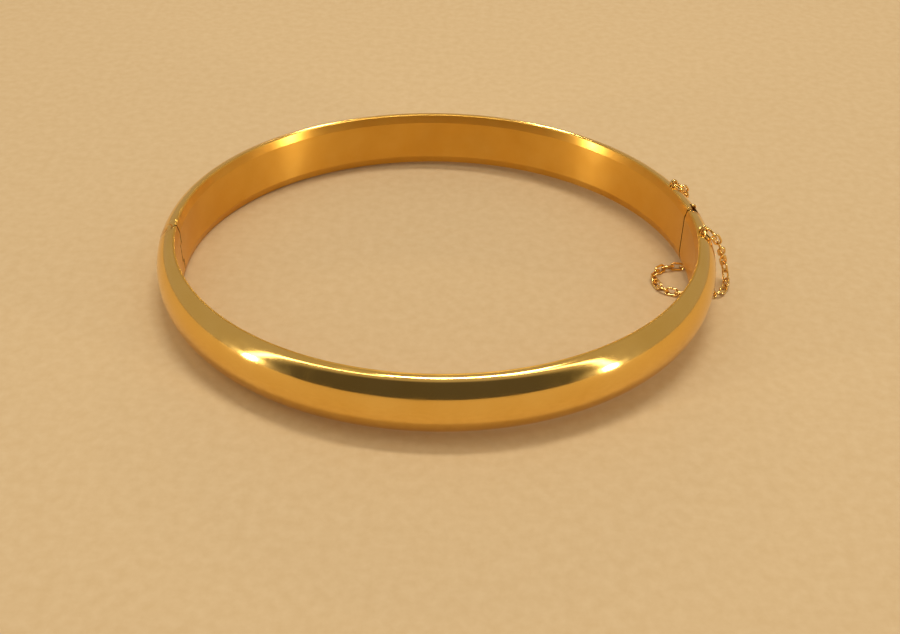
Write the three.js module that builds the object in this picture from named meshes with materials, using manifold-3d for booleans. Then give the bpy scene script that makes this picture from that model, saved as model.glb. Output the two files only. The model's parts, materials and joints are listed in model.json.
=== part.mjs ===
// A hinged oval bangle in yellow gold: two hollow half-round halves, a pin hinge, a tongue clasp
// and a safety chain that runs under the clasp side and lifts it a little off the surface.
// Millimetres, +Z up, resting on z = 0. The clasp is at +X, the hinge at -X, the front half at -Y.
import * as THREE from 'three';
import { mergeVertices } from 'three/addons/utils/BufferGeometryUtils.js';
import Module from 'manifold-3d';

const wasm = await Module();
wasm.setup();

// Band
const openingLength = 60;         // inside of the oval, hinge to clasp
const openingWidth = 52.2;        // inside of the oval, front to back
const bandHeight = 7.2;
const bandDepth = 2.7;            // inner face to the top of the dome
const liningThickness = 0.5;      // flat strip that closes the hollow dome on the wrist side
const shellWall = 0.3;
const solderFilm = 0.06;          // space that the solder fills between soldered pieces
const eyeFilm = 0.08;             // between an eye's feet and the dome they are soldered to
const claspAngle = 11.5;          // degrees round the oval from +X
const hingeAngle = 185;
const fullTurn = 360;
const bandSteps = 44;             // facets along each half
const domeSteps = 12;             // facets across the dome
const toolReach = 1;              // how far a cutting shape runs past what it cuts
const cutMargin = 0.02;           // the same, where a neighbour is close

// Hinge
const knuckleRadius = 0.95;
const knucklePlay = 0.1;          // between a knuckle and the seat of the other half
const knuckleEndPlay = 0.15;      // between two knuckles along the pin
const seatLength = 1.3;           // block that closes a half behind its knuckles
const pinRadius = 0.4;
const pinPlay = 0.08;
const seamStep = 0.35;            // how far each lining reaches past the pin at its own knuckles
const hingeReach = 3;             // along the band either side of the pin, to the end of its fittings
const hingeSteps = 8;             // facets along that stretch
const barrelSides = 40;
const pinSides = 24;

// Clasp
const seamGap = 0.2;              // between the two halves
const plateThickness = 0.5;
const tongueOffset = 1.25;        // middle of the tongue from the inner face
const tongueLength = 3.2;         // past the middle of the seam
const tongueTail = 0.5;           // behind the end plate that holds it
const tongueWidth = 0.7;
const tongueThickness = 0.35;
const tongueBottom = 2.9;         // height of the tongue's underside
const tongueChamfer = 0.12;
const foldRise = 0.25;
const leafThickness = 0.28;
const leafPlay = 0.1;             // between the leaf and the fold it springs from
const leafDrop = 0.05;            // from the top of the slot down to the leaf's end
const leafCorner = 0.1;
const catchWidth = 0.95;
const catchBehindPlate = 0.15;
const catchLength = 0.35;
const catchOverlap = 0.25;        // how much of the catch stands above the slot
const tabRoot = 0.1;              // how deep the tab is rooted in the catch
const slotPlay = 0.15;
const slotHeight = 1.6;
const tabWidth = 0.5;
const notchPlay = 0.1;
const notchRoot = 0.1;            // how far the notch runs down into the slot
const notchLength = 1.5;          // from the middle of the seam into the rear half

// Chain eyes and jump rings
const frontRingAngle = 2;
const rearRingAngle = 23.5;
const eyeInset = 1.65;            // from the top of the dome in towards the wrist
const eyeRadius = 0.42;
const eyeWire = 0.15;             // radius of the wire
const eyeBedReach = 2;            // along the dome either side of an eye, for fitting its feet
const eyeBedSteps = 4;
const eyeSteps = 20;
const ringRadius = 0.95;
const ringWire = 0.15;            // radius of the wire
const ringSteps = 24;
const wireSides = 8;
const ringSlope = 34;             // degrees below level, down the outside
const ringClearance = 0.14;       // between a jump ring and the dome under its eye

// Safety chain
const linkLength = 1.8;           // outside
const linkWidth = 1.1;            // outside
const linkWire = 0.28;            // diameter
const linkPlay = 0.1;             // along the chain, between two links
const linkSteps = 12;             // facets round a link
const linkSides = 6;              // facets round its wire
const twistLinks = 7;             // links that share the twist up to a jump ring
const levelSlope = 0.02;          // a link that climbs less than this lies flat
const chainPlace = 1.5;           // where the chain passes under the rim, in from the clasp
const chainClearance = 0.06;      // between the chain and the rim that lies over it

const rimLine = liningThickness + solderFilm;
const halfHeight = bandHeight / 2;
const pinOffset = bandDepth - knuckleRadius;
const eyeOffset = bandDepth - eyeInset;
const seatRadius = knuckleRadius + knucklePlay;
const tongueTop = tongueBottom + tongueThickness;
const slotBottom = tongueBottom - slotPlay;
const slotTop = slotBottom + slotHeight;

const gold = new THREE.MeshStandardMaterial({ color: 0xd19a36, roughness: 0.24, metalness: 1 });
const satinGold = new THREE.MeshStandardMaterial({ color: 0xb87a24, roughness: 0.38, metalness: 1 });
const chainGold = new THREE.MeshStandardMaterial({ color: 0xdcae55, roughness: 0.2, metalness: 1 });

// Solids

function toSolid(geometry) {
  const bare = geometry.clone();
  bare.deleteAttribute('normal');
  bare.deleteAttribute('uv');
  const merged = mergeVertices(bare, 1e-4);
  return new wasm.Manifold(new wasm.Mesh({
    numProp: 3,
    vertProperties: merged.attributes.position.array,
    triVerts: new Uint32Array(merged.index.array),
  }));
}

function toGeometry(solid) {
  const mesh = solid.getMesh();
  const geometry = new THREE.BufferGeometry();
  geometry.setAttribute('position', new THREE.BufferAttribute(new Float32Array(mesh.vertProperties), 3));
  geometry.setIndex(new THREE.BufferAttribute(new Uint32Array(mesh.triVerts), 1));
  geometry.computeVertexNormals();
  return geometry;
}

function cut(geometry, ...tools) {
  let solid = toSolid(geometry);
  for (const tool of tools) solid = solid.subtract(toSolid(tool));
  return toGeometry(solid);
}

function join(geometry, ...others) {
  let solid = toSolid(geometry);
  for (const other of others) solid = solid.add(toSolid(other));
  return toGeometry(solid);
}

function keepWithin(geometry, envelope) {
  return toGeometry(toSolid(geometry).intersect(toSolid(envelope)));
}

function part(name, geometry, material) {
  const mesh = new THREE.Mesh(geometry, material.clone());
  mesh.name = name;
  return mesh;
}

// The oval that the inner face of the band follows

const radians = THREE.MathUtils.degToRad;

function ovalPoint(degrees) {
  const turn = radians(degrees);
  return new THREE.Vector3(openingLength / 2 * Math.cos(turn), openingWidth / 2 * Math.sin(turn), 0);
}

function ovalTangent(degrees) {
  const turn = radians(degrees);
  return new THREE.Vector3(-openingLength / 2 * Math.sin(turn), openingWidth / 2 * Math.cos(turn), 0);
}

// The angle that lies a short distance further round the oval
function moveAlong(degrees, distance) {
  return degrees + THREE.MathUtils.radToDeg(distance / ovalTangent(degrees).length());
}

// A frame on the inner face: X out of the oval, Y along it anticlockwise, Z up
function bandFrame(degrees) {
  const along = ovalTangent(degrees).normalize();
  const up = new THREE.Vector3(0, 0, 1);
  const out = along.clone().cross(up);
  return new THREE.Matrix4().makeBasis(out, along, up).setPosition(ovalPoint(degrees));
}

class OvalArc extends THREE.Curve {
  constructor(from, to) {
    super();
    this.from = from;
    this.to = to;
  }

  getPoint(t) {
    return ovalPoint(this.from + (this.to - this.from) * t);
  }
}

// Carries a profile of [offset from the inner face, height] along the oval
function sweep(profile, from, to, steps) {
  const shape = new THREE.Shape(profile.map(([offset, height]) => new THREE.Vector2(-height, -offset)));
  return new THREE.ExtrudeGeometry(shape, {
    steps,
    bevelEnabled: false,
    extrudePath: new OvalArc(from, to),
  });
}

// The half-round outline from the lower rim to the upper one, moved inwards by inset
function domeOutline(inset) {
  const points = [];
  for (let i = 0; i <= domeSteps; i += 1) {
    const turn = Math.PI * (i / domeSteps - 0.5);
    points.push([
      rimLine + (bandDepth - rimLine - inset) * Math.cos(turn),
      halfHeight + (halfHeight - inset) * Math.sin(turn),
    ]);
  }
  return points;
}

function domeHeight(offset) {
  const share = (offset - rimLine) / (bandDepth - rimLine);
  return halfHeight + halfHeight * Math.sqrt(1 - share * share);
}

function box(frame, [x0, x1], [y0, y1], [z0, z1]) {
  const geometry = new THREE.BoxGeometry(x1 - x0, y1 - y0, z1 - z0);
  geometry.translate((x0 + x1) / 2, (y0 + y1) / 2, (z0 + z1) / 2);
  return geometry.applyMatrix4(frame);
}

// Both halves: a domed shell, a flat lining and solid blocks at the two ends

const shellProfile = [...domeOutline(0), ...domeOutline(shellWall).reverse()];
const liningProfile = [[0, 0], [liningThickness, 0], [liningThickness, bandHeight], [0, bandHeight]];
const blockProfile = domeOutline(0);

const knuckleBands = {
  lower: [-toolReach, bandHeight / 3 - knuckleEndPlay / 2],
  middle: [bandHeight / 3 + knuckleEndPlay / 2, bandHeight * 2 / 3 - knuckleEndPlay / 2],
  upper: [bandHeight * 2 / 3 + knuckleEndPlay / 2, bandHeight + toolReach],
};
const beyondLower = [-toolReach, knuckleBands.middle[0]];
const beyondUpper = [knuckleBands.middle[1], bandHeight + toolReach];
const beyondMiddle = [knuckleBands.lower[1], knuckleBands.upper[0]];

const hingeFrame = bandFrame(hingeAngle);
const pinFrame = hingeFrame.clone().multiply(new THREE.Matrix4().makeTranslation(pinOffset, 0, 0));

function pinCylinder(radius, [low, high], sides) {
  const geometry = new THREE.CylinderGeometry(radius, radius, high - low, sides);
  geometry.rotateX(Math.PI / 2);
  geometry.translate(0, 0, (low + high) / 2);
  return geometry.applyMatrix4(pinFrame);
}

const fullHeight = [-toolReach, bandHeight + toolReach];
const hingeSeat = pinCylinder(seatRadius, fullHeight, barrelSides);

// side is +1 for the front half, which lies past the hinge, and -1 for the rear half
function liningAtHinge(geometry, side, heights) {
  const end = side * (seamGap / 2 - seamStep);
  const edge = side * (seamGap / 2 + seamStep);
  const span = side > 0 ? [end - hingeReach, edge] : [edge, end + hingeReach];
  const through = [-toolReach, liningThickness + cutMargin];
  return cut(geometry, ...heights.map((band) => box(hingeFrame, through, span, band)));
}

function hingeBlock(side) {
  const near = moveAlong(hingeAngle, side * seamGap / 2);
  const far = moveAlong(hingeAngle, side * (seamGap / 2 + seatLength));
  return cut(sweep(blockProfile, Math.min(near, far), Math.max(near, far), 2), hingeSeat);
}

const blockEnvelope = sweep(
  blockProfile,
  moveAlong(hingeAngle, -hingeReach),
  moveAlong(hingeAngle, hingeReach),
  hingeSteps,
);
const pinBore = pinCylinder(pinRadius + pinPlay, fullHeight, pinSides);

// A barrel round the pin with a saddle that seats in the block of its own half
function knuckle(name, side) {
  const band = knuckleBands[name];
  const saddleSpan = side > 0 ? [seamStep, seatRadius] : [-seatRadius, -seamStep];
  const saddle = keepWithin(
    pinCylinder(seatRadius - solderFilm / 2, band, barrelSides),
    box(pinFrame, [-seatRadius, seatRadius], saddleSpan, band),
  );
  const barrel = join(pinCylinder(knuckleRadius, band, barrelSides), saddle);
  return cut(keepWithin(barrel, blockEnvelope), pinBore);
}

// Clasp

const claspFrame = bandFrame(claspAngle);
const pinPlace = new THREE.Vector3().setFromMatrixPosition(pinFrame);
const seamPlace = new THREE.Vector3(tongueOffset, 0, 0).applyMatrix4(claspFrame);

// X away from the hinge pin, Y the way that the tongue enters, which is the circle round the pin
function tongueFrameAt(place) {
  const up = new THREE.Vector3(0, 0, 1);
  const out = place.clone().sub(pinPlace).setZ(0).normalize();
  return new THREE.Matrix4().makeBasis(out, up.clone().cross(out), up).setPosition(place);
}

const tongueFrame = tongueFrameAt(seamPlace);

// A side view of [distance into the rear half, height], as thick as width
function tongueSlice(outline, width) {
  const shape = new THREE.Shape(outline.map(([into, height]) => new THREE.Vector2(into, height)));
  const geometry = new THREE.ExtrudeGeometry(shape, { depth: width, bevelEnabled: false });
  const turn = new THREE.Matrix4().makeBasis(
    new THREE.Vector3(0, 1, 0),
    new THREE.Vector3(0, 0, 1),
    new THREE.Vector3(1, 0, 0),
  );
  geometry.translate(0, 0, -width / 2);
  return geometry.applyMatrix4(turn).applyMatrix4(tongueFrame);
}

const tailEnd = -(seamGap / 2 + plateThickness + tongueTail);

function tongueBase() {
  const foldStart = tongueLength - tongueThickness;
  return tongueSlice([
    [tailEnd, tongueBottom],
    [tongueLength - tongueChamfer, tongueBottom],
    [tongueLength, tongueBottom + tongueChamfer],
    [tongueLength, tongueTop + foldRise],
    [foldStart, tongueTop + foldRise],
    [foldStart, tongueTop],
    [tailEnd, tongueTop],
  ], tongueWidth);
}

const catchStart = seamGap / 2 + plateThickness + catchBehindPlate;
const catchEnd = catchStart + catchLength;
const catchTop = slotTop + catchOverlap;
const leafRoot = [tongueLength - tongueThickness - leafPlay, tongueTop + leafPlay];
const leafTop = slotTop - leafDrop;
const leafUnder = leafTop - leafThickness;

function tongueLeaf() {
  const leaf = tongueSlice([
    leafRoot,
    [leafRoot[0], leafRoot[1] + leafThickness],
    [catchEnd, leafTop],
    [catchEnd - leafCorner, leafTop],
    [catchStart, leafUnder],
    [catchStart + leafCorner, leafUnder - leafCorner / 2],
  ], tongueWidth);
  const catchBlock = box(
    tongueFrame,
    [-catchWidth / 2, catchWidth / 2],
    [catchStart, catchEnd],
    [leafUnder, catchTop],
  );
  const tab = box(
    tongueFrame,
    [-tabWidth / 2, tabWidth / 2],
    [catchStart, catchEnd],
    [catchTop - tabRoot, bandHeight],
  );
  return join(leaf, catchBlock, tab);
}

const catchSlot = box(
  tongueFrame,
  [-catchWidth / 2 - slotPlay, catchWidth / 2 + slotPlay],
  [-seamGap, catchStart],
  [slotBottom, slotTop],
);
const notchSides = [-tabWidth / 2 - notchPlay, tabWidth / 2 + notchPlay];
const notchHeights = [slotTop - notchRoot, bandHeight + toolReach];
const tabNotch = box(tongueFrame, notchSides, [-seamGap, notchLength], notchHeights);
const tongueSocket = box(
  tongueFrame,
  [-tongueWidth / 2 - solderFilm, tongueWidth / 2 + solderFilm],
  [tailEnd - toolReach, seamGap],
  [tongueBottom - solderFilm, tongueTop + solderFilm],
);

function claspPlate(side) {
  const near = moveAlong(claspAngle, side * seamGap / 2);
  const far = moveAlong(claspAngle, side * (seamGap / 2 + plateThickness));
  return sweep(blockProfile, Math.min(near, far), Math.max(near, far), 1);
}

// The arcs that each half covers, anticlockwise

const clearOfSeam = seamGap / 2;
const clearOfPlate = clearOfSeam + plateThickness + solderFilm;
const clearOfBlock = clearOfSeam + seatLength + solderFilm;
const pastHinge = seamStep - clearOfSeam;

const rearArc = {
  shell: [moveAlong(claspAngle, clearOfPlate), moveAlong(hingeAngle, -clearOfBlock)],
  lining: [moveAlong(claspAngle, clearOfSeam), moveAlong(hingeAngle, pastHinge)],
};
const frontArc = {
  shell: [moveAlong(hingeAngle, clearOfBlock), fullTurn + moveAlong(claspAngle, -clearOfPlate)],
  lining: [moveAlong(hingeAngle, -pastHinge), fullTurn + moveAlong(claspAngle, -clearOfSeam)],
};

// Eyes and jump rings

function chainEye(degrees) {
  const frame = bandFrame(degrees);
  const height = domeHeight(eyeOffset) + ringWire + ringClearance;
  const eye = new THREE.TorusGeometry(eyeRadius, eyeWire, wireSides, eyeSteps);
  eye.rotateX(Math.PI / 2);
  eye.translate(eyeOffset, 0, height);
  eye.applyMatrix4(frame);
  const bed = [[0, -eyeFilm], ...domeOutline(-eyeFilm), [0, bandHeight + eyeFilm]];
  return cut(
    eye,
    sweep(bed, moveAlong(degrees, -eyeBedReach), moveAlong(degrees, eyeBedReach), eyeBedSteps),
  );
}

// The middle of the jump ring, which hangs from its eye down the outside
function ringMiddle(degrees) {
  const slope = radians(ringSlope);
  const height = domeHeight(eyeOffset) + ringWire + ringClearance;
  return new THREE.Vector3(
    eyeOffset + ringRadius * Math.cos(slope),
    0,
    height - ringRadius * Math.sin(slope),
  ).applyMatrix4(bandFrame(degrees));
}

function jumpRing(degrees) {
  const ring = new THREE.TorusGeometry(ringRadius, ringWire, wireSides, ringSteps);
  ring.rotateY(radians(ringSlope));
  const middle = ringMiddle(degrees);
  const turn = bandFrame(degrees).setPosition(middle);
  return ring.applyMatrix4(turn);
}

// The far side of the ring, where the chain hangs
function ringEnd(degrees) {
  const slope = radians(ringSlope);
  const reach = new THREE.Vector3(ringRadius * Math.cos(slope), 0, -ringRadius * Math.sin(slope));
  const turned = reach.applyMatrix4(bandFrame(degrees).setPosition(0, 0, 0));
  return ringMiddle(degrees).add(turned);
}

// Bangle, tilted about the rim on the hinge side so that the clasp side clears the chain

const linkRoll = Math.PI / 4;
const chainHalfHeight = (linkWidth - linkWire) / 2 * Math.sin(linkRoll) + linkWire / 2;
const chainLift = 2 * chainHalfHeight + chainClearance;
const restRim = openingLength / 2 + rimLine;
const tilt = Math.asin(chainLift / (openingLength / 2 - chainPlace + restRim));

const bangle = new THREE.Group();
bangle.rotation.y = -tilt;
bangle.position.set(0, 0, restRim * Math.sin(tilt));
bangle.updateMatrixWorld(true);

const frontHalf = new THREE.Group();
frontHalf.add(
  part('front_outer_shell', sweep(shellProfile, ...frontArc.shell, bandSteps), gold),
  part(
    'front_inner_lining',
    liningAtHinge(sweep(liningProfile, ...frontArc.lining, bandSteps), 1, [beyondMiddle]),
    satinGold,
  ),
  part('front_hinge_block', hingeBlock(1), gold),
  part('front_clasp_plate', cut(claspPlate(-1), tongueSocket), gold),
  part('hinge_knuckle_upper', knuckle('upper', 1), gold),
  part('hinge_knuckle_lower', knuckle('lower', 1), gold),
  part('tongue_base', tongueBase(), gold),
  part('tongue_leaf', tongueLeaf(), gold),
  part('front_chain_eye', chainEye(frontRingAngle), gold),
  part('front_jump_ring', jumpRing(frontRingAngle), chainGold),
);

const rearHalf = new THREE.Group();
rearHalf.add(
  part('rear_outer_shell', cut(sweep(shellProfile, ...rearArc.shell, bandSteps), tabNotch), gold),
  part(
    'rear_inner_lining',
    liningAtHinge(sweep(liningProfile, ...rearArc.lining, bandSteps), -1, [beyondLower, beyondUpper]),
    satinGold,
  ),
  part('rear_hinge_block', hingeBlock(-1), gold),
  part('rear_clasp_mouth', cut(claspPlate(1), catchSlot, tabNotch), gold),
  part('hinge_knuckle_middle', knuckle('middle', -1), gold),
  part('hinge_pin', keepWithin(pinCylinder(pinRadius, fullHeight, 24), blockEnvelope), gold),
  part('rear_chain_eye', chainEye(rearRingAngle), gold),
  part('rear_jump_ring', jumpRing(rearRingAngle), chainGold),
);
bangle.add(frontHalf, rearHalf);

// Safety chain: from the front jump ring down the outside, under the front half, round a loop on
// the surface inside, under the clasp, along the outside of the rear half and up to the rear ring

const laid = chainHalfHeight;
const claspEnd = openingLength / 2;
const outer = claspEnd + bandDepth;
const chainStart = ringEnd(frontRingAngle).applyMatrix4(bangle.matrixWorld);
const chainEnd = ringEnd(rearRingAngle).applyMatrix4(bangle.matrixWorld);
// A point of the chain's route next to the band, by its angle, its distance from the inner face
// and its height above the surface
function besideBand(degrees, offset, height) {
  const place = new THREE.Vector3(offset, 0, 0).applyMatrix4(bandFrame(degrees));
  return [place.x, place.y, height];
}

const chainRoute = [
  [chainStart.x, chainStart.y, chainStart.z],
  [outer + 0.7, 1.3, 5.6],
  [outer + 1.1, 1.9, 4.4],
  [outer + 1.45, 2.5, 3.3],
  [outer + 1.8, 2.8, 2.3],
  [outer + 2.05, 2.7, 1.45],
  [outer + 2.2, 2.2, 0.85],
  [outer + 2.15, 1.4, 0.52],
  [outer + 1.9, 0.5, laid],
  [outer + 1.4, -0.3, laid],
  [outer + 0.5, -0.85, laid],
  [claspEnd + 2.0, -1.1, laid],
  [claspEnd + 0.4, -1.0, laid],
  [claspEnd - 1.1, -1.0, laid],
  [claspEnd - 2.45, -0.64, laid],
  [claspEnd - 3.44, 0.35, laid],
  [claspEnd - 3.8, 1.7, laid],
  [claspEnd - 3.44, 3.05, laid],
  [claspEnd - 2.45, 4.04, laid],
  [claspEnd - 1.1, 4.4, laid],
  [claspEnd + 0.2, 4.55, laid],
  besideBand(10.6, 1.4, laid),
  besideBand(12.9, 2.1, laid),
  besideBand(16, 2.45, laid),
  besideBand(19.5, 2.6, laid),
  besideBand(22.5, 2.7, laid),
  besideBand(25, 2.9, laid + 0.04),
  besideBand(27, 3.1, 0.75),
  besideBand(28.3, 3.4, 1.45),
  besideBand(28.7, 3.6, 2.4),
  besideBand(28.2, 3.75, 3.4),
  besideBand(27, 3.8, 4.3),
  besideBand(25.5, 3.7, 5.2),
  besideBand(24.1, 3.35, 6.2),
  [chainEnd.x, chainEnd.y, chainEnd.z],
].map(([x, y, z]) => new THREE.Vector3(x, y, z));

const pitch = linkLength - 2 * linkWire - linkPlay;
const endReach = linkLength / 2 - linkWire - ringWire - linkPlay;

// A round-wire link along X, stretched from a torus whose straight sides cross x = 0
function linkGeometry() {
  const ring = new THREE.TorusGeometry((linkWidth - linkWire) / 2, linkWire / 2, linkSides, linkSteps);
  ring.rotateZ(Math.PI / linkSteps);
  const place = ring.attributes.position;
  const stretch = (linkLength - linkWidth) / 2;
  for (let i = 0; i < place.count; i += 1) {
    const x = place.getX(i);
    place.setX(i, x + Math.sign(x) * stretch);
  }
  return ring;
}

// The end links reach through their rings, past the ends of the curve
function pointAlong(curve, distance) {
  const length = curve.getLength();
  const within = THREE.MathUtils.clamp(distance, 0, length);
  const tangent = curve.getTangentAt(within / length);
  return curve.getPointAt(within / length).addScaledVector(tangent, distance - within);
}

function chainLinks(route) {
  const curve = new THREE.CatmullRomCurve3(route, false, 'centripetal');
  const length = curve.getLength();
  const spaces = Math.round((length - 2 * endReach) / pitch);
  const step = (length - 2 * endReach) / spaces;
  const links = [];
  for (let i = 0; i <= spaces; i += 1) {
    const middle = endReach + i * step;
    const back = pointAlong(curve, middle - step / 2);
    const ahead = pointAlong(curve, middle + step / 2);
    links.push({
      middle: back.clone().add(ahead).multiplyScalar(0.5),
      along: ahead.clone().sub(back).normalize(),
    });
  }
  return links;
}

// Each link is rolled a quarter turn from the last; on the surface both lie equally low
function rollLinks(links) {
  const lying = links.findIndex((link) => Math.abs(link.along.z) < levelSlope);
  links[lying].up = new THREE.Vector3(0, 0, 1);
  const carry = (from, to) => {
    const bend = new THREE.Quaternion().setFromUnitVectors(links[from].along, links[to].along);
    links[to].up = links[from].up.clone().applyQuaternion(bend);
  };
  for (let i = lying; i > 0; i -= 1) carry(i, i - 1);
  for (let i = lying; i < links.length - 1; i += 1) carry(i, i + 1);
  links.forEach((link, i) => {
    link.roll = i % 2 ? linkRoll : -linkRoll;
  });
}

// The links that climb to a ring turn little by little until the last one faces along its wire
function twistToRing(climbing, ringFrame) {
  const wire = new THREE.Vector3(0, 1, 0).transformDirection(ringFrame);
  const { along, up, roll } = climbing[0];
  const faces = up.clone().applyAxisAngle(along, roll);
  const twist = Math.atan(wire.dot(faces.clone().cross(along).negate()) / wire.dot(faces));
  climbing.slice(0, twistLinks).forEach((link, i) => {
    link.roll += twist * (1 - i / twistLinks);
  });
}

const chain = new THREE.Group();
const links = chainLinks(chainRoute);
rollLinks(links);
twistToRing(links, bangle.matrixWorld.clone().multiply(bandFrame(frontRingAngle)));
twistToRing([...links].reverse(), bangle.matrixWorld.clone().multiply(bandFrame(rearRingAngle)));
links.forEach((link, i) => {
  const side = link.up.clone().cross(link.along).normalize();
  const turn = new THREE.Matrix4().makeBasis(link.along, side, link.along.clone().cross(side));
  const roll = new THREE.Matrix4().makeRotationX(link.roll);
  const mesh = part('chain_link_' + String(i + 1).padStart(2, '0'), linkGeometry(), chainGold);
  mesh.quaternion.setFromRotationMatrix(turn.multiply(roll));
  mesh.position.copy(link.middle);
  chain.add(mesh);
});

// The whole piece, centred on its footprint
const piece = new THREE.Group();
piece.add(bangle, chain);
piece.updateMatrixWorld(true);
const footprint = new THREE.Box3().setFromObject(piece, true);
piece.position.x = -(footprint.min.x + footprint.max.x) / 2;
piece.position.y = -(footprint.min.y + footprint.max.y) / 2;

export default piece;
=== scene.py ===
# A hinged oval bangle in yellow gold with a tongue clasp and a safety chain.
# Metres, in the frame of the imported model. Clasp at +X, hinge at -X, front half at -Y.
import json
import math

import bmesh
import bpy
import numpy as np
from mathutils import Matrix, Vector

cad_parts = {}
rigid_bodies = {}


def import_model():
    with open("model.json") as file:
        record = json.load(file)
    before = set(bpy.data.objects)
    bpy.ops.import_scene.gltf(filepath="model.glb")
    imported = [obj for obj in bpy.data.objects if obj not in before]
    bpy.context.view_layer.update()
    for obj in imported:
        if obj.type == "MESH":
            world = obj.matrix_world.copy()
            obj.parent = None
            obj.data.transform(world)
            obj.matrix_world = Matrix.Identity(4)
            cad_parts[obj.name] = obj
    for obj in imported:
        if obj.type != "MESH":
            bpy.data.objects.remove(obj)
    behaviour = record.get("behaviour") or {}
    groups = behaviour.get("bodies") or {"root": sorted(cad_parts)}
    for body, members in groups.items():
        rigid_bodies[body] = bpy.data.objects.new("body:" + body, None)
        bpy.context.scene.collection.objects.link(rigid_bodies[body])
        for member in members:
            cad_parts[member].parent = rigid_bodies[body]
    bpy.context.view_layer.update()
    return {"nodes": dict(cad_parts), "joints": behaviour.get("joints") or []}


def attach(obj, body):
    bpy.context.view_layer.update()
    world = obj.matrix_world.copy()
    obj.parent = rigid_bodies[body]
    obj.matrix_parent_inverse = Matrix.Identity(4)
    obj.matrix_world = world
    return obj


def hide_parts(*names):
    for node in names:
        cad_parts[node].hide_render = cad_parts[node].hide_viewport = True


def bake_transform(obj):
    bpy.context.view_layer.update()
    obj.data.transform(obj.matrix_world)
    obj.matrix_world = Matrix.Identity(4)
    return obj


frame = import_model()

mm = 0.001
weld = 1e-7                    # two points nearer than this are one
near = 1e-6                    # a point this near a plane lies in it
squareOn = 0.9                 # a face faces a direction if its normal has this much of it
past = 1 * mm                  # how far a cutting shape runs past what it cuts

for spare in ("Cube", "Light", "Camera"):
    if spare in bpy.data.objects:
        bpy.data.objects.remove(bpy.data.objects[spare])


# small helpers for modelling

def alone(obj):
    # nothing but this object is selected and active
    for other in bpy.context.view_layer.objects:
        other.select_set(False)
    obj.select_set(True)
    bpy.context.view_layer.objects.active = obj


def started(name):
    # the primitive that was just added, under its own name and alone
    obj = bpy.context.active_object
    obj.name = name
    obj.data.name = name
    alone(obj)
    return obj


def settle(obj):
    # place, turn and size go into the mesh
    alone(obj)
    bpy.ops.object.transform_apply(location=True, rotation=True, scale=True)
    return obj


def pick(obj, kind, test):
    # in edit mode, selects the vertices, edges or faces that pass the test
    if obj.mode != "EDIT":
        alone(obj)
        bpy.ops.object.mode_set(mode="EDIT")
    bpy.ops.mesh.select_mode(type=kind)
    bpy.ops.mesh.select_all(action="DESELECT")
    mesh = bmesh.from_edit_mesh(obj.data)
    mesh.normal_update()
    items = {"VERT": mesh.verts, "EDGE": mesh.edges, "FACE": mesh.faces}[kind]
    for item in items:
        if test(item):
            item.select_set(True)
    mesh.select_flush_mode()
    bmesh.update_edit_mesh(obj.data)


def leaveEdit():
    bpy.ops.object.mode_set(mode="OBJECT")


def modify(obj, kind, **settings):
    # adds one modifier and applies it
    alone(obj)
    bpy.ops.object.modifier_add(type=kind)
    modifier = obj.modifiers[-1]
    for name, value in settings.items():
        setattr(modifier, name, value)
    bpy.ops.object.modifier_apply(modifier=modifier.name)
    return obj


def combine(obj, tool, operation):
    # the tool is used up
    modify(obj, "BOOLEAN", object=tool, operation=operation, solver="EXACT")
    bpy.data.objects.remove(tool)
    return obj


def outward(obj):
    # doubled points joined, every face turned outwards
    pick(obj, "FACE", lambda face: True)
    bpy.ops.mesh.remove_doubles(threshold=weld)
    bpy.ops.mesh.normals_make_consistent(inside=False)
    leaveEdit()
    return obj


def smooth(obj, degrees):
    # shades as round what bends less than the angle
    alone(obj)
    bpy.ops.object.shade_smooth_by_angle(angle=math.radians(degrees))
    modify(obj, "WEIGHTED_NORMAL", keep_sharp=True, weight=60)
    return obj


def soften(obj, width, segments, degrees):
    # rounds the edges that are sharper than the angle
    return modify(
        obj, "BEVEL", width=width, segments=segments, limit_method="ANGLE",
        angle_limit=math.radians(degrees), harden_normals=False,
    )


def addBox(name, low, high):
    low, high = Vector(low), Vector(high)
    bpy.ops.mesh.primitive_cube_add(size=1, location=(low + high) / 2)
    box = started(name)
    box.scale = high - low
    return settle(box)


# the band's sizes and its oval

band = {
    "openingLength": 60 * mm,
    "openingWidth": 52.2 * mm,
    "height": 7.2 * mm,
    "depth": 2.7 * mm,
    "lining": 0.5 * mm,
    "rimLine": 0.505 * mm,      # where the dome starts, just outside the lining
    "shellWall": 0.3 * mm,
    "claspAngle": 11.5,
    "hingeAngle": 185,
    "seamGap": 0.2 * mm,
    "plate": 0.5 * mm,          # length of an end plate at the clasp
    "seat": 1.3 * mm,           # length of a block at the hinge
    "pinInset": 0.95 * mm,      # from the top of the dome in to the middle of the hinge pin
    "skin": 0.02 * mm,          # rubbed away from the top of the dome in polishing
    "lengthCuts": (79, 2),      # along a half, in two rounds
    "seatCuts": (6,),
    "plateCuts": (3,),
    "domeSides": 96,            # of a whole round
    "smooth": 35,               # degrees
    "liningSmooth": 12,
}


def ovalPoint(degrees):
    turn = math.radians(degrees)
    return Vector((
        band["openingLength"] / 2 * math.cos(turn),
        band["openingWidth"] / 2 * math.sin(turn),
        0,
    ))


def ovalAlong(degrees):
    # unit vector anticlockwise along the oval
    turn = math.radians(degrees)
    return Vector((
        -band["openingLength"] / 2 * math.sin(turn),
        band["openingWidth"] / 2 * math.cos(turn),
        0,
    )).normalized()


def reach(degrees):
    # length along the oval, clockwise from 180 degrees, summed in fine steps
    turns = np.radians(np.linspace(degrees, 180, 20001))
    speed = np.hypot(
        band["openingLength"] / 2 * np.sin(turns),
        band["openingWidth"] / 2 * np.cos(turns),
    )
    return float(np.sum((speed[1:] + speed[:-1]) / 2) * (turns[1] - turns[0]))


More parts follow.
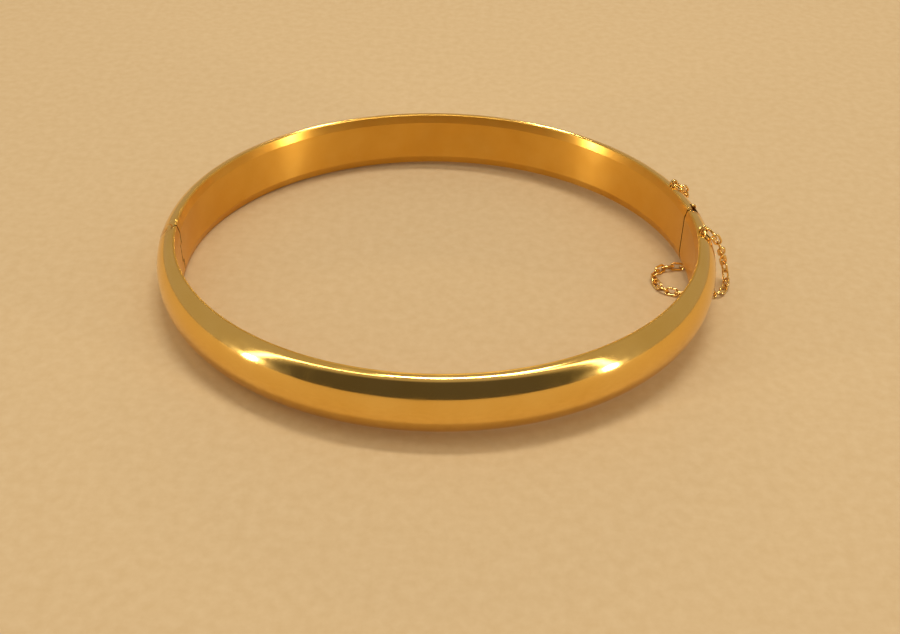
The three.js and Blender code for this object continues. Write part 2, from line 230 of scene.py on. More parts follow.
ovalLength = reach(-180)
claspReach = reach(band["claspAngle"])
hingeReach = reach(band["hingeAngle"])

# the curve that bends the bars: it starts at 180 degrees and runs clockwise
bpy.ops.curve.primitive_bezier_circle_add(radius=1, rotation=(0, 0, -math.pi / 2))
oval = bpy.context.active_object
oval.name = "oval"
settle(oval)
bpy.ops.object.mode_set(mode="EDIT")
bpy.ops.curve.select_all(action="SELECT")
bpy.ops.curve.handle_type_set(type="ALIGNED")
bpy.ops.object.mode_set(mode="OBJECT")
oval.scale = (band["openingLength"] / 2, band["openingWidth"] / 2, 1)
settle(oval)
for point in oval.data.splines[0].bezier_points:
    point.radius = 1           # the profile keeps its size
oval.data.resolution_u = 256
oval.data.twist_mode = "Z_UP"


def bendRound(obj):
    # a straight bar along X with Y outwards follows the oval
    return modify(obj, "CURVE", object=oval, deform_axis="POS_X")


# the bangle's place: the joint's axis gives its slight tilt

hinge = [joint for joint in frame["joints"] if joint["name"] == "clasp_hinge"][0]
hingeAxis = Vector(hinge["axis"])
hingeAlong = ovalAlong(band["hingeAngle"])
hingeOut = Vector((hingeAlong.y, -hingeAlong.x, 0))
pinPlace = ovalPoint(band["hingeAngle"]) + hingeOut * (band["depth"] - band["pinInset"])
tilt = math.asin(hingeAxis.x)
toBangle = Matrix.Rotation(-tilt, 4, "Y")
pinMiddle = pinPlace + Vector((0, 0, band["height"] / 2))
bangleShift = Vector(hinge["pos_m"]) - toBangle @ pinMiddle


def placed(obj):
    # from the bangle's own level frame to the model's frame
    obj.rotation_euler = (0, -tilt, 0)
    obj.location = bangleShift
    return settle(obj)


# bars with the band's profiles

def domeBar(name, start, end, cuts, hollow=False):
    # the domed profile, as a bar or as a shell open towards the wrist
    bpy.ops.mesh.primitive_circle_add(
        vertices=band["domeSides"], radius=1, fill_type="NOTHING", rotation=(0, math.pi / 2, 0))
    bar = started(name)
    settle(bar)
    bar.scale = (1, band["depth"] - band["skin"] - band["rimLine"], band["height"] / 2)
    bar.location = (start, band["rimLine"], band["height"] / 2)
    settle(bar)
    pick(bar, "VERT", lambda vert: vert.co.y < band["rimLine"] - weld)
    bpy.ops.mesh.delete(type="VERT")
    pick(bar, "EDGE", lambda edge: True)
    if hollow:
        bpy.ops.mesh.extrude_edges_move(TRANSFORM_OT_translate={"value": (end - start, 0, 0)})
    else:
        bpy.ops.mesh.edge_face_add()
        bpy.ops.mesh.extrude_region_move(TRANSFORM_OT_translate={"value": (end - start, 0, 0)})
    cutAlong(bar, end - start, cuts)
    if hollow:
        pick(bar, "FACE", lambda face: True)
        mesh = bmesh.from_edit_mesh(bar.data)
        facing = sum(face.normal.y * face.calc_area() for face in mesh.faces)
        if facing < 0:
            bpy.ops.mesh.flip_normals()
        leaveEdit()
        modify(bar, "SOLIDIFY", thickness=band["shellWall"], offset=-1, use_rim=True)
    else:
        outward(bar)
    return bar


def cutAlong(bar, length, cuts):
    # only the edges that run most of the length are divided, in one or two rounds
    most = 0.6
    for count in cuts:
        pick(bar, "EDGE", lambda edge: abs(edge.verts[1].co.x - edge.verts[0].co.x) > most * length)
        bpy.ops.mesh.subdivide(number_cuts=count)
        length /= count + 1
    leaveEdit()


# the leaning edge of a lining: its height, how far it leans and its rounded corner
rim = {"tall": 1.05 * mm, "lean": 0.26 * mm, "round": 0.07 * mm, "roundSteps": 8}


def liningBar(name, start, end, hingeEnd, reachBands, longReach):
    # a flat strip whose hinge end is stepped: the bands that carry knuckles reach further
    low, high = min(start, end), max(start, end)
    bar = addBox(name, (low, 0, 0), (high, band["lining"], band["height"]))
    levels = sorted({level for pair in reachBands for level in pair if 0 < level < band["height"]})
    for level in levels:
        pick(bar, "FACE", lambda face: True)
        bpy.ops.mesh.bisect(plane_co=(0, 0, level), plane_no=(0, 0, 1))

    def reaching(face):
        middle = face.calc_center_median()
        atEnd = abs(middle.x - hingeEnd) < near and abs(face.normal.x) > squareOn
        return atEnd and any(bottom < middle.z < top for bottom, top in reachBands)

    pick(bar, "FACE", reaching)
    bpy.ops.mesh.extrude_region_move(TRANSFORM_OT_translate={"value": (longReach, 0, 0)})

    # the two rims lean back from the wrist, each up from a fine line
    for level in (rim["tall"], band["height"] - rim["tall"]):
        pick(bar, "FACE", lambda face: True)
        bpy.ops.mesh.bisect(plane_co=(0, 0, level), plane_no=(0, 0, 1))

    def atRim(spot, offset):
        return abs(spot.y - offset) < near and min(abs(spot.z), abs(spot.z - band["height"])) < near

    def onRimLine(edge):
        ends = [vert.co for vert in edge.verts]
        return all(atRim(end, rim["lean"]) for end in ends) and abs(ends[1].x - ends[0].x) > rim["tall"]

    pick(bar, "VERT", lambda vert: atRim(vert.co, 0))
    bpy.ops.transform.translate(value=(0, rim["lean"], 0))
    pick(bar, "EDGE", onRimLine)
    bpy.ops.mesh.bevel(offset=rim["round"], segments=rim["roundSteps"], affect="EDGES")
    leaveEdit()
    cutAlong(bar, high - low, band["lengthCuts"])
    outward(bar)
    # the ends that meet at the seams take the second slot, a dark gold that paints the shade inside the
    # narrow seam gaps
    for face in bar.data.polygons:
        if abs(face.normal.x) > squareOn:
            face.material_index = 1        # the ends that meet at the seams
    return bar


# materials

def linear(code):
    # an sRGB hex colour as linear light
    parts = [int(code[i:i + 2], 16) / 255 for i in (1, 3, 5)]
    return [p / 12.92 if p <= 0.04045 else ((p + 0.055) / 1.055) ** 2.4 for p in parts] + [1]


def addNode(tree, kind, settings=None, links=None):
    # one node with its values and what feeds it
    node = tree.nodes.new(kind)
    for name, value in (settings or {}).items():
        if name == "stops":
            while len(node.color_ramp.elements) < len(value):
                node.color_ramp.elements.new(0.5)
            for element, (place, colour) in zip(node.color_ramp.elements, value):
                element.position = place
                element.color = linear(colour) if isinstance(colour, str) else [colour] * 3 + [1]
        elif name in node.inputs.keys():
            node.inputs[name].default_value = value
        else:
            setattr(node, name, value)
    for name, source in (links or {}).items():
        tree.links.new(source, node.inputs[name])
    return node


def newMaterial(name):
    material = bpy.data.materials.new(name)
    material.use_nodes = True
    tree = material.node_tree
    tree.nodes.clear()
    return material, tree


def goldFinish(name, look):
    # yellow gold: colour, haze, polishing lines and a slight waviness, all from real sizes
    material, tree = newMaterial(name)
    place = addNode(tree, "ShaderNodeTexCoord").outputs["Object"]
    level = addNode(tree, "ShaderNodeMapping", {"Rotation": (0, tilt, 0)}, {"Vector": place})
    cloud = addNode(
        tree, "ShaderNodeTexNoise",
        {"Scale": 1 / look["cloudSize"], "Detail": 4, "Roughness": 0.55},
        {"Vector": level.outputs[0]},
    )
    colour = addNode(
        tree, "ShaderNodeValToRGB",
        {"stops": [(0.3, look["deep"]), (0.7, look["pale"])]},
        {"Fac": cloud.outputs["Fac"]},
    )
    haze = addNode(
        tree, "ShaderNodeTexNoise",
        {"Scale": 1 / look["hazeSize"], "Detail": 2, "Roughness": 0.5},
        {"Vector": level.outputs[0]},
    )
    rough = addNode(
        tree, "ShaderNodeMapRange",
        {"From Min": 0.3, "From Max": 0.7, "To Min": look["smoothest"], "To Max": look["roughest"]},
        {"Value": haze.outputs["Fac"]},
    )
    stretch = addNode(
        tree, "ShaderNodeMapping", {"Scale": look["lineStretch"]}, {"Vector": level.outputs[0]})
    lines = addNode(
        tree, "ShaderNodeTexNoise",
        {"Scale": 1 / look["lineSize"], "Detail": 0},
        {"Vector": stretch.outputs[0]},
    )
    wave = addNode(
        tree, "ShaderNodeTexNoise",
        {"Scale": 1 / look["waveSize"], "Detail": 1},
        {"Vector": level.outputs[0]},
    )
    waveBump = addNode(
        tree, "ShaderNodeBump", {"Strength": 1, "Distance": look["waveHeight"]},
        {"Height": wave.outputs["Fac"]},
    )
    lineBump = addNode(
        tree, "ShaderNodeBump", {"Strength": 1, "Distance": look["lineHeight"]},
        {"Height": lines.outputs["Fac"], "Normal": waveBump.outputs[0]},
    )
    settings = {"Metallic": 1}
    feeds = {
        "Base Color": colour.outputs["Color"],
        "Roughness": rough.outputs["Result"],
        "Normal": lineBump.outputs[0],
    }
    if "anisotropic" in look:
        # the lines run round the band, so the glints stand upright, a quarter turn from them
        settings.update({"Anisotropic": look["anisotropic"], "Anisotropic Rotation": 0.25})
        feeds["Tangent"] = addNode(
            tree, "ShaderNodeTangent", {"direction_type": "RADIAL", "axis": "Z"}).outputs[0]
    shader = addNode(tree, "ShaderNodeBsdfPrincipled", settings, feeds)
    addNode(tree, "ShaderNodeOutputMaterial", None, {"Surface": shader.outputs[0]})
    return material


# rolled and buffed gold: a near mirror with a faint haze and fine polishing lines round the band
buffedGold = goldFinish("gold_buffed_dome", {
    "deep": "#EEC468", "pale": "#F4CE78", "cloudSize": 7 * mm,
    "hazeSize": 2.2 * mm, "smoothest": 0.08, "roughest": 0.15,
    "lineStretch": (0.05, 0.05, 1), "lineSize": 0.16 * mm, "lineHeight": 0.0008 * mm,
    "waveSize": 9 * mm, "waveHeight": 0.02 * mm,
})
# rubbed gold: a satin with fine lines along the strip, which spreads each light into an upright glint
satinGold = goldFinish("gold_satin_lining", {
    "deep": "#E6B04A", "pale": "#EDBC58", "cloudSize": 5 * mm,
    "hazeSize": 3 * mm, "smoothest": 0.28, "roughest": 0.34, "anisotropic": 0.85,
    "lineStretch": (0.02, 0.02, 1), "lineSize": 0.35 * mm, "lineHeight": 0.0015 * mm,
    "waveSize": 6 * mm, "waveHeight": 0.015 * mm,
})
# filed and lightly polished gold of the hinge and clasp: duller and streaked, so it reads as fittings
filedGold = goldFinish("gold_filed_fitting", {
    "deep": "#DFAA50", "pale": "#EBBC66", "cloudSize": 1.2 * mm,
    "hazeSize": 0.5 * mm, "smoothest": 0.16, "roughest": 0.3,
    "lineStretch": (1, 1, 0.15), "lineSize": 0.09 * mm, "lineHeight": 0.002 * mm,
    "waveSize": 1 * mm, "waveHeight": 0.004 * mm,
})
# drawn gold wire, tumbled bright: a little paler, with rubbed high spots
wireGold = goldFinish("gold_drawn_wire", {
    "deep": "#EBC070", "pale": "#F6D890", "cloudSize": 1 * mm,
    "hazeSize": 0.4 * mm, "smoothest": 0.05, "roughest": 0.13,
    "lineStretch": (1, 1, 1), "lineSize": 0.12 * mm, "lineHeight": 0.002 * mm,
    "waveSize": 0.7 * mm, "waveHeight": 0.004 * mm,
})
# the filed gold inside the seams, painted very dark: the colour is mostly painted shade of the narrow
# gaps, with a little grime, and it draws the seams as fine dark lines
seamShadeAndGrimeGold = goldFinish("gold_worn_seam", {
    "deep": "#3E280C", "pale": "#5E4014", "cloudSize": 0.6 * mm,
    "hazeSize": 0.3 * mm, "smoothest": 0.45, "roughest": 0.6,
    "lineStretch": (1, 1, 1), "lineSize": 0.1 * mm, "lineHeight": 0.004 * mm,
    "waveSize": 0.8 * mm, "waveHeight": 0.004 * mm,
})
print("materials made")


def finished(obj, body, material, nodes, endMaterial=None):
    # a finished piece gets its material, its body, the nodes it stands for and its slot
    obj.data.materials.append(material)
    if endMaterial:
        obj.data.materials.append(endMaterial)
    if body:
        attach(obj, body)
    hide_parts(*nodes)
    return obj


# domed shells

gap = band["seamGap"] / 2
rearStart, rearEnd = hingeReach + gap, claspReach - gap
frontStart, frontEnd = claspReach + gap, ovalLength + hingeReach - gap

rearShell = domeBar(
    "rear_dome", rearStart + band["seat"], rearEnd - band["plate"], band["lengthCuts"], hollow=True)
frontShell = domeBar(
    "front_dome", frontStart + band["plate"], frontEnd - band["seat"], band["lengthCuts"], hollow=True)
for shell in (rearShell, frontShell):
    bendRound(shell)

# linings, with the sizes of the hinge, which step their ends

hingePart = {
    "knuckle": band["pinInset"],
    "play": 0.1 * mm,           # between a knuckle and its seat
    "endPlay": 0.15 * mm,       # between two knuckles along the pin
    "seamStep": 0.35 * mm,      # how far a lining reaches past the pin at its own knuckles
    "saddleStart": 0.35 * mm,   # from the middle of the pin to the metal that carries a knuckle
    "film": 0.03 * mm,          # of solder, under that metal
    "bore": 0.48 * mm,
    "envelope": 3 * mm,         # of the dome, either side of the pin, that trims the knuckles
    "envelopeCuts": (16,),
    "sides": 96,
    "boreSides": 48,
    "pin": 0.4 * mm,
    "pinInset": 0.02 * mm,      # of its two ends
    "pinRound": 0.08 * mm,
    "seatEdge": 0.02 * mm,      # how far the edges of the blocks are rounded
    "knuckleEdge": 0.03 * mm,
}
third = band["height"] / 3
halfPlay = hingePart["endPlay"] / 2
knuckleBands = {
    "lower": (-past, third - halfPlay),
    "middle": (third + halfPlay, 2 * third - halfPlay),
    "upper": (2 * third + halfPlay, band["height"] + past),
}
stepShort, stepLong = hingePart["seamStep"] + gap, hingePart["seamStep"] - gap
rearLining = liningBar(
    "rear_lining", hingeReach + stepShort, rearEnd, hingeReach + stepShort,
    [knuckleBands["middle"]], -(stepShort + stepLong))
frontLining = liningBar(
    "front_lining", frontStart, ovalLength + hingeReach - stepShort, ovalLength + hingeReach - stepShort,
    [knuckleBands["lower"], knuckleBands["upper"]], stepShort + stepLong)
for lining in (rearLining, frontLining):
    bendRound(lining)
print("domes and linings bent round the oval")

# hinge: blocks, knuckles and pin

pinAngle = math.atan2(hingeAlong.y, hingeAlong.x)


def pinRound(name, radius, bottom, top, sides):
    bpy.ops.mesh.primitive_cylinder_add(
        vertices=sides, radius=radius, depth=top - bottom,
        location=(pinPlace.x, pinPlace.y, (bottom + top) / 2))
    return settle(started(name))


def hingeBox(name, xSpan, ySpan, zSpan):
    # a box with X outwards from the pin and Y anticlockwise along the band
    box = addBox(name, (xSpan[0], ySpan[0], zSpan[0]), (xSpan[1], ySpan[1], zSpan[1]))
    box.rotation_euler = (0, 0, pinAngle - math.pi / 2)
    box.location = (pinPlace.x, pinPlace.y, 0)
    return settle(box)


def hingeEnvelope():
    # the full profile of the band across the hinge
    low, high = hingeReach - hingePart["envelope"], hingeReach + hingePart["envelope"]
    return bendRound(domeBar("envelope", low, high, hingePart["envelopeCuts"]))


allHeights = (-past, band["height"] + past)
seatRound = hingePart["knuckle"] + hingePart["play"]

rearBlock = bendRound(domeBar(
    "rear_hinge_end", rearStart, rearStart + band["seat"], band["seatCuts"]))
frontBlock = bendRound(domeBar(
    "front_hinge_end", frontEnd - band["seat"], frontEnd, band["seatCuts"]))
for block in (rearBlock, frontBlock):
    combine(block, pinRound("seat", seatRound, *allHeights, hingePart["sides"]), "DIFFERENCE")
    soften(block, hingePart["seatEdge"], 2, 50)


def knuckleFor(name, heights, side):
    # a bored barrel with the metal that joins it to its own half, trimmed to the band's profile
    barrel = pinRound(name, hingePart["knuckle"], *heights, hingePart["sides"])
    saddle = pinRound("saddle", seatRound - hingePart["film"], *heights, hingePart["sides"])
    inner = hingePart["saddleStart"]
    span = (inner, seatRound) if side > 0 else (-seatRound, -inner)
    combine(saddle, hingeBox("half", (-seatRound, seatRound), span, heights), "INTERSECT")
    combine(barrel, saddle, "UNION")
    combine(barrel, hingeEnvelope(), "INTERSECT")
    combine(
        barrel, pinRound("bore", hingePart["bore"], *allHeights, hingePart["boreSides"]), "DIFFERENCE")
    return soften(barrel, hingePart["knuckleEdge"], 2, 50)


upperKnuckle = knuckleFor("knuckle_upper", knuckleBands["upper"], 1)
lowerKnuckle = knuckleFor("knuckle_lower", knuckleBands["lower"], 1)
middleKnuckle = knuckleFor("knuckle_middle", knuckleBands["middle"], -1)

pin = pinRound(
    "pin", hingePart["pin"], hingePart["pinInset"], band["height"] - hingePart["pinInset"],
    hingePart["boreSides"])
pick(pin, "FACE", lambda face: abs(face.normal.z) > squareOn)
bpy.ops.mesh.bevel(offset=hingePart["pinRound"], segments=3, affect="EDGES")
leaveEdit()
combine(pin, hingeEnvelope(), "INTERSECT")
print("hinge made")

# clasp: end plates, tongue and its sprung leaf

slot = {
    "offset": 1.25 * mm,        # middle of the tongue from the inner face
    "halfWidth": 0.625 * mm, "bottom": 2.75 * mm, "top": 4.35 * mm,
    "before": 0.2 * mm, "after": 0.75 * mm,    # along the band, from the middle of the seam
    "plateEdge": 0.03 * mm,     # how far the edges of the plates are rounded
}
notch = {"halfWidth": 0.35 * mm, "length": 1.5 * mm, "drop": 0.1 * mm}

claspAlong = ovalAlong(band["claspAngle"])
claspOut = Vector((claspAlong.y, -claspAlong.x, 0))
seamPlace = ovalPoint(band["claspAngle"]) + claspOut * slot["offset"]
tongueOut = (seamPlace - pinPlace).normalized()
tongueTurn = math.atan2(tongueOut.y, tongueOut.x)


def claspBox(name, xSpan, ySpan, zSpan):
    # X away from the hinge pin, Y the way that the tongue enters
    box = addBox(name, (xSpan[0], ySpan[0], zSpan[0]), (xSpan[1], ySpan[1], zSpan[1]))
    box.rotation_euler = (0, 0, tongueTurn)
    box.location = (seamPlace.x, seamPlace.y, 0)
    return settle(box)


def notchTool():
    return claspBox(
        "notchTool", (-notch["halfWidth"], notch["halfWidth"]), (-slot["before"], notch["length"]),
        (slot["top"] - notch["drop"], band["height"] + past))


frontPlate = bendRound(domeBar(
    "front_end_plate", frontStart, frontStart + band["plate"], band["plateCuts"]))
rearPlate = bendRound(domeBar(
    "clasp_mouth", rearEnd - band["plate"], rearEnd, band["plateCuts"]))
slotTool = claspBox(
    "slotTool", (-slot["halfWidth"], slot["halfWidth"]), (-slot["before"], slot["after"]),
    (slot["bottom"], slot["top"]))
combine(rearPlate, slotTool, "DIFFERENCE")
combine(rearPlate, notchTool(), "DIFFERENCE")
combine(rearShell, notchTool(), "DIFFERENCE")
for plate in (frontPlate, rearPlate):
    soften(plate, slot["plateEdge"], 2, 50)


def softenedCopy(node, name, width):
    # a CAD node's shape with its edges rounded, as a file leaves them
    source = frame["nodes"][node]
    copy = source.copy()
    copy.data = source.data.copy()
    copy.name = name
    copy.data.name = name
    copy.parent = None
    copy.matrix_world = Matrix.Identity(4)
    for key in list(copy.keys()):
        del copy[key]
    bpy.context.scene.collection.objects.link(copy)
    alone(copy)
    copy.data.materials.clear()
    pick(copy, "FACE", lambda face: True)
    bpy.ops.mesh.remove_doubles(threshold=2 * near)
    bpy.ops.mesh.dissolve_limited(angle_limit=math.radians(1))
    leaveEdit()
    return soften(copy, width, 3, 30)


tongueEdges = {"base": 0.05 * mm, "leaf": 0.04 * mm}
tongue = softenedCopy("tongue_base", "tongue", tongueEdges["base"])
leaf = softenedCopy("tongue_leaf", "tongue_spring", tongueEdges["leaf"])
print("clasp made")

# eyes, jump rings and chain links

def restFrame(node):
    # middle and main directions of a ring or link, longest first
    points = np.array([v.co for v in frame["nodes"][node].data.vertices])
    middle = points.mean(0)
    axes = np.linalg.svd(points - middle, full_matrices=False)[2]
    if np.linalg.det(axes) < 0:
        axes[2] = -axes[2]
    turn = Matrix([list(axis) for axis in axes]).transposed().to_4x4()
    return Matrix.Translation(Vector(middle)) @ turn


def atRest(obj, node):
    obj.matrix_world = restFrame(node)
    return settle(obj)


ring = {"radius": 0.95 * mm, "wire": 0.15 * mm, "steps": 64, "sides": 16}
eyelet = {
    "radius": 0.42 * mm, "wire": 0.15 * mm, "steps": 48, "sides": 16,
    "front": 2, "rear": 23.5,   # degrees round the oval
    "inset": 1.65 * mm,         # from the top of the dome in towards the wrist
    "domeFoot": 0.56 * mm,      # where the dome starts, from the inner face
    "lift": 0.29 * mm,          # of its middle above the dome
    "bed": 1 * mm,              # of the dome, either side, that fits its feet
    "bedCuts": (6,),
}
link = {
    "length": 1.755 * mm, "width": 1.065 * mm, "wire": 0.27 * mm, "sides": 12, "steps": 40,
    "swelling": 1.04,           # of the wire at its soldered joint
    "middle": 0.02 * mm,        # what lies nearer to the middle isn't pulled out
}


def wireRing(name, radius, thickness, steps, sides):
    bpy.ops.mesh.primitive_torus_add(
        major_segments=steps, minor_segments=sides, major_radius=radius, minor_radius=thickness)
    return settle(started(name))


frontRing, rearRing = (
    atRest(
        wireRing(f"{side}_ring", ring["radius"], ring["wire"], ring["steps"], ring["sides"]),
        f"{side}_jump_ring")
    for side in ("front", "rear"))


def chainEye(name, degrees):
    # an eye that stands across the band, its feet fitted to the dome
    eye = wireRing(name, eyelet["radius"], eyelet["wire"], eyelet["steps"], eyelet["sides"])
    along = ovalAlong(degrees)
    out = Vector((along.y, -along.x, 0))
    offset = band["depth"] - eyelet["inset"]
    share = (offset - eyelet["domeFoot"]) / (band["depth"] - eyelet["domeFoot"])
    height = band["height"] / 2 * (1 + math.sqrt(1 - share * share)) + eyelet["lift"]
    turn = Matrix((out, Vector((0, 0, 1)), along)).transposed().to_4x4()
    middle = ovalPoint(degrees) + out * offset + Vector((0, 0, height))
    eye.matrix_world = Matrix.Translation(middle) @ turn
    settle(eye)
    spot = reach(degrees)
    bed = bendRound(domeBar("bed", spot - eyelet["bed"], spot + eyelet["bed"], eyelet["bedCuts"]))
    return combine(eye, bed, "DIFFERENCE")


frontEye = chainEye("front_eye", eyelet["front"])
rearEye = chainEye("rear_eye", eyelet["rear"])

# one link: a ring pulled long, with a small swelling where it was soldered
linkRadius = (link["width"] - link["wire"]) / 2
firstLink = wireRing("link", linkRadius, link["wire"] / 2, link["steps"], link["sides"])
halfPull = (link["length"] - link["width"]) / 2
for side in (1, -1):
    pick(firstLink, "VERT", lambda vert: vert.co.x * side > link["middle"])
    bpy.ops.transform.translate(value=(side * halfPull, 0, 0))
pick(firstLink, "VERT", lambda vert: abs(vert.co.x) < link["middle"] and vert.co.y > 0)
bpy.ops.transform.resize(
    value=(1, link["swelling"], link["swelling"]), center_override=(0, linkRadius, 0))
leaveEdit()

linkNodes = sorted(name for name in frame["nodes"] if name.startswith("chain_link_"))
links = []
for number, node in enumerate(linkNodes, 1):
    piece = firstLink.copy()
    piece.data = firstLink.data.copy()
    piece.name = f"chain_{number:02d}"
    piece.data.name = piece.name
    bpy.context.scene.collection.objects.link(piece)
    atRest(piece, node)
    links.append(piece)
bpy.data.objects.remove(firstLink)
print(len(links), "links placed")

# everything onto its body

for piece in (
    rearShell, frontShell, rearLining, frontLining, rearBlock, frontBlock, upperKnuckle,
    lowerKnuckle, middleKnuckle, pin, frontPlate, rearPlate, frontEye, rearEye,
):
    placed(piece)
for piece in (
    rearShell, frontShell, rearLining, frontLining, rearBlock, frontBlock, upperKnuckle,
    lowerKnuckle, middleKnuckle, pin, frontPlate, rearPlate, frontEye, rearEye, tongue, leaf,
    frontRing, rearRing, *links,
):
    smooth(piece, band["liningSmooth"] if piece in (rearLining, frontLining) else band["smooth"])

finished(frontShell, "front_half", buffedGold, ["front_outer_shell"])
finished(rearShell, "rear_half", buffedGold, ["rear_outer_shell"])
# the linings' seam ends take the dark gold that paints the shade inside the seams
finished(frontLining, "front_half", satinGold, ["front_inner_lining"], seamShadeAndGrimeGold)
finished(rearLining, "rear_half", satinGold, ["rear_inner_lining"], seamShadeAndGrimeGold)
finished(frontBlock, "front_half", buffedGold, ["front_hinge_block"])
finished(rearBlock, "rear_half", buffedGold, ["rear_hinge_block"])
finished(upperKnuckle, "front_half", buffedGold, ["hinge_knuckle_upper"])
finished(lowerKnuckle, "front_half", buffedGold, ["hinge_knuckle_lower"])
finished(middleKnuckle, "rear_half", buffedGold, ["hinge_knuckle_middle"])
finished(pin, "rear_half", filedGold, ["hinge_pin"])
finished(frontPlate, "front_half", filedGold, ["front_clasp_plate"])
finished(rearPlate, "rear_half", filedGold, ["rear_clasp_mouth"])
finished(tongue, "front_half", filedGold, ["tongue_base"])
finished(leaf, "tongue_leaf", filedGold, ["tongue_leaf"])
finished(frontEye, "front_half", wireGold, ["front_chain_eye"])
finished(rearEye, "rear_half", wireGold, ["rear_chain_eye"])
finished(frontRing, "front_half", wireGold, ["front_jump_ring"])
finished(rearRing, "rear_half", wireGold, ["rear_jump_ring"])

# the chain: each link's share of the front half's swing is worked out, but it is not put on the links,
# which stay where they lie on no body

openTurn = Matrix.Rotation(math.radians(hinge["range_deg"][1]), 3, hingeAxis)
pinSpot = Vector(hinge["pos_m"])
middles = [restFrame(node).translation for node in linkNodes]
swings = [openTurn @ (p - pinSpot) - (p - pinSpot) for p in middles]


def sharesFor(spacing):
    # from the front ring back to the rear one, each link one spacing from the last when open
    fineness = 0.0005
    shares = [1.0]
    last = middles[0] + swings[0]
    for middle, swing in zip(middles[1:], swings[1:]):
        share = shares[-1]
        while share > 0 and (middle + swing * share - last).length < spacing:
            share -= fineness
        share = max(share, 0)
        shares.append(share)
        last = middle + swing * share
    return shares


# the spacing at which the last link just stays with the rear half, found by halving
tight, slack = 1.0 * mm, 2.5 * mm
for _ in range(30):
    spacing = (tight + slack) / 2
    if sharesFor(spacing)[-1] > 0:
        tight = spacing
    else:
        slack = spacing
shares = sharesFor(slack)
print("open chain spacing, mm:", round(slack / mm, 3))
far = 200.0
for piece, node, middle, share in zip(links, linkNodes, middles, shares):
    finished(piece, None, wireGold, [node])
    # with a line this long the whole link would take one share; this works out where along the line that
    # share lies, but nothing uses it
    along = 0.5 - math.sin(math.asin(1 - 2 * share) / 3)
    start = middle - Vector((0, far * along, 0))
    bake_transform(piece)
print("pieces ride on their bodies")

bpy.data.objects.remove(oval)

# floor, light and camera

card = {"size": 3, "grain": 1.2 * mm, "deep": "#D4BA90", "pale": "#DAC29A"}
bpy.ops.mesh.primitive_plane_add(size=card["size"], location=(0, 0, 0))
floor = started("floor")
# matt card: a soft mottle, and hardly a glint
floorMaterial, tree = newMaterial("matt_pale_card")
grain = addNode(
    tree, "ShaderNodeTexNoise", {"Scale": 1 / card["grain"], "Detail": 3},
    {"Vector": addNode(tree, "ShaderNodeTexCoord").outputs["Object"]})
tone = addNode(
    tree, "ShaderNodeValToRGB", {"stops": [(0.3, card["deep"]), (0.7, card["pale"])]},
    {"Fac": grain.outputs["Fac"]})
cover = addNode(
    tree, "ShaderNodeBsdfPrincipled", {"Roughness": 0.9, "Specular IOR Level": 0.2},
    {"Base Color": tone.outputs["Color"]})
addNode(tree, "ShaderNodeOutputMaterial", None, {"Surface": cover.outputs[0]})
floor.data.materials.append(floorMaterial)

# a soft room, with a wide dim patch in front, above the camera
room = {
    "bright": 0.475, "dim": 0.1, "tint": "#FFEBD2",
    "dimRise": math.radians(22), "dimCore": math.radians(47), "dimEdge": math.radians(58),
}
world = bpy.data.worlds.new("soft_room")
world.use_nodes = True
tree = world.node_tree
tree.nodes.clear()
dimMiddle = (0, -math.cos(room["dimRise"]), math.sin(room["dimRise"]))
nearness = addNode(
    tree, "ShaderNodeVectorMath", {"operation": "DOT_PRODUCT"},
    {0: addNode(tree, "ShaderNodeTexCoord").outputs["Generated"]})
nearness.inputs[1].default_value = dimMiddle
brightness = addNode(
    tree, "ShaderNodeMapRange",
    {
        "interpolation_type": "SMOOTHSTEP",
        "From Min": math.cos(room["dimEdge"]), "From Max": math.cos(room["dimCore"]),
        "To Min": room["bright"], "To Max": room["dim"],
    },
    {"Value": nearness.outputs["Value"]})
glow = addNode(
    tree, "ShaderNodeBackground", {"Color": linear(room["tint"])},
    {"Strength": brightness.outputs["Result"]})
addNode(tree, "ShaderNodeOutputWorld", None, {"Surface": glow.outputs[0]})
bpy.context.scene.world = world
bpy.context.scene.view_settings.view_transform = "Standard"


def strip(name, start, end, width, glow, colour):
    # a straight light from start to end that faces the bangle; its glow doesn't depend on its size
    start, end = Vector(start), Vector(end)
    along = (end - start).normalized()
    away = (start + end) / 2
    away = (away - along * away.dot(along)).normalized()
    light = bpy.data.lights.new(name, "AREA")
    light.shape = "RECTANGLE"
    light.size, light.size_y = (end - start).length, width
    light.energy = glow * math.pi * light.size * width
    light.color = linear(colour)[:3]
    lamp = bpy.data.objects.new(name, light)
    turn = Matrix((along, away.cross(along), away)).transposed().to_4x4()
    lamp.matrix_world = Matrix.Translation((start + end) / 2) @ turn
    bpy.context.scene.collection.objects.link(lamp)


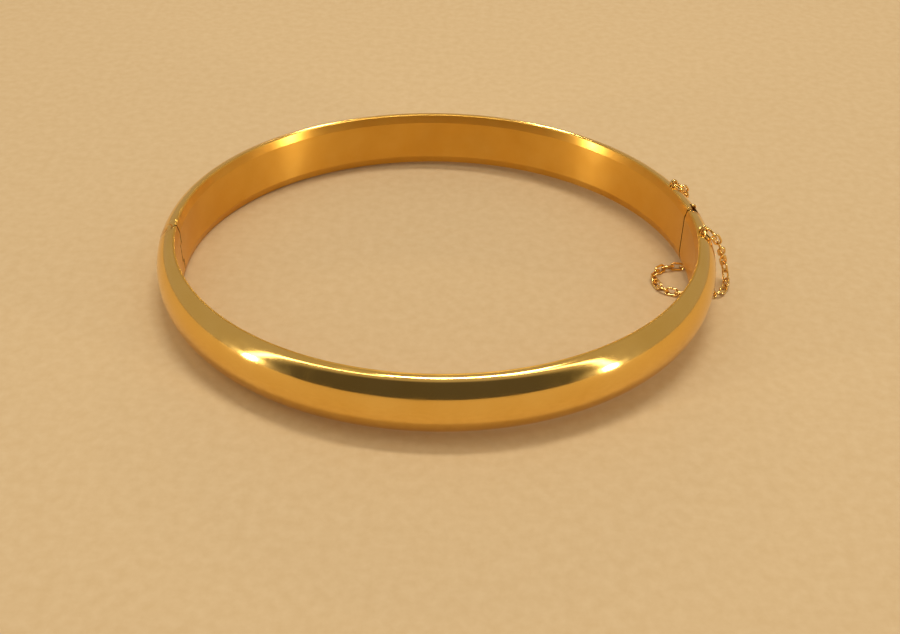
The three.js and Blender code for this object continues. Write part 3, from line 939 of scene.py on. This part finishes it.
# an arch of strip lights from side to side, a bright post under each end of it, one strip
# overhead and two small ones behind; the places are for the right side and mirrored for the left
arch = {
    "places": [
        (0.44, -0.235, 0.1), (0.386, -0.197, 0.25), (0.324, -0.124, 0.36), (0.245, -0.052, 0.433),
        (0.171, -0.006, 0.47), (0.084, 0.022, 0.492),
    ],
    "width": 0.026, "glow": 8, "colour": "#FFF3E0",
}
post = {
    "places": [(0.47, -0.25, 0.004), (0.44, -0.235, 0.1)],
    "width": 0.026, "glow": 80, "colour": "#FFF0D8",
}
overhead = {
    "places": [(-0.08, 0.1, 0.5), (0.14, 0.1, 0.5)], "width": 0.05, "glow": 28, "colour": "#FFF6E8",
}
back = {
    "x": {"back_left": -0.145, "back_right": 0.055}, "y": 0.62, "z": 0.21,
    "width": 0.03, "glow": 70, "colour": "#FFE9B8",
}
for side, sideName in ((-1, "left"), (1, "right")):
    for lamp, lampName in ((post, sideName + "_post"), (arch, sideName + "_arch_{}")):
        turns = [(side * x, y, z) for x, y, z in lamp["places"]]
        for number, (start, end) in enumerate(zip(turns, turns[1:]), 1):
            strip(lampName.format(number), start, end, lamp["width"], lamp["glow"], lamp["colour"])
strip("overhead", *overhead["places"], overhead["width"], overhead["glow"], overhead["colour"])
for name, x in back["x"].items():
    start, end = (Vector((x + back["width"] / 2 * end, back["y"], back["z"])) for end in (-1, 1))
    strip(name, start, end, back["width"], back["glow"], back["colour"])

view = {
    "place": (7.24 * mm, -118.0 * mm, 86.66 * mm),   # from the middle of the oval, level with the band
    "heading": math.radians(2.69),
    "down": math.radians(38.2),
    "roll": math.radians(0.65),
    "lens": 48.7,
}
cameraData = bpy.data.cameras.new("camera")
cameraData.lens = view["lens"]
cameraData.sensor_width = 36
cameraData.clip_start = 1 * mm
cameraData.clip_end = 10
camera = bpy.data.objects.new("camera", cameraData)
bpy.context.scene.collection.objects.link(camera)
look = (
    Matrix.Rotation(view["heading"], 4, "Z")
    @ Matrix.Rotation(math.pi / 2 - view["down"], 4, "X")
    @ Matrix.Rotation(view["roll"], 4, "Z")
)
camera.matrix_world = (
    Matrix.Translation(bangleShift) @ toBangle @ Matrix.Translation(Vector(view["place"])) @ look)
bpy.context.scene.camera = camera
